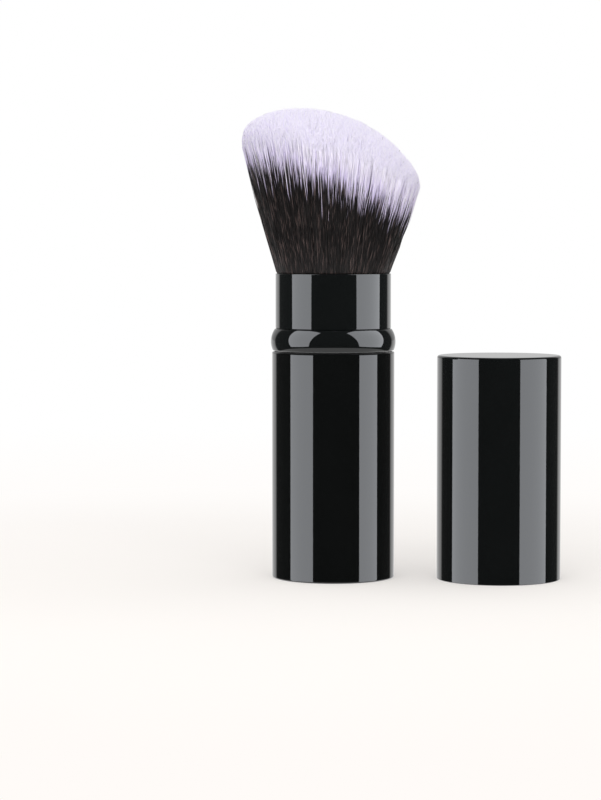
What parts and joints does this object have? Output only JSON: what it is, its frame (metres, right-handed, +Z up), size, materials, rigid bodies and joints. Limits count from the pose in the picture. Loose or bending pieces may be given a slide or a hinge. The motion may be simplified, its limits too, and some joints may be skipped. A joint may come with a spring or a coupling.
{
  "type": "kabuki makeup brush",
  "caption": "Round retractable makeup brush with a slanted domed hair head, a sliding neck collar that gathers the hair, and a loose cap standing beside it.",
  "frame": {"origin": "centre of the handle's base, on the surface it stands on", "axes": "+Z up along the brush's axis, out of the hair; +X to the cap, the low side of the slanted hair; -Y to the viewer"},
  "size_m": [0.0786, 0.0448, 0.1154],
  "materials": {
    "black_aluminium": "high-gloss black anodised and lacquered",
    "plain_aluminium": "satin",
    "black_plastic": "moulded",
    "white_plastic": "moulded, natural polypropylene",
    "rubber_cord": "matt",
    "resin": "set epoxy",
    "two_tone_hair": "synthetic fibres, dark brown with pale lilac tips"
  },
  "bodies": {
    "handle": {"handle_shell": "black_aluminium", "guide_bush": "black_plastic", "drag_ring": "rubber_cord", "core_post": "black_plastic", "ferrule": "plain_aluminium", "glue_plug": "resin", "bristles": "two_tone_hair"},
    "slider": {"stop_ring": "white_plastic"},
    "collar": {"collar_shell": "black_aluminium", "slide_tube": "black_plastic"},
    "cap": {"cap_shell": "black_aluminium", "cap_liner": "white_plastic"}
  },
  "joints": [
    {"name": "collar_slide", "type": "slide", "parent": "handle", "child": "slider", "axis": [0, 0, 1], "range_m": [0, 0.038], "deforming": ["bristles"]},
    {"name": "collar_spin", "type": "hinge", "parent": "slider", "child": "collar", "pos_m": [0, 0, 0.0108], "axis": [0, 0, 1], "continuous": true},
    {"name": "cap_lift", "type": "slide", "parent": "handle", "child": "cap", "axis": [0, 0, 1], "range_m": [0, 0.12]}
  ]
}
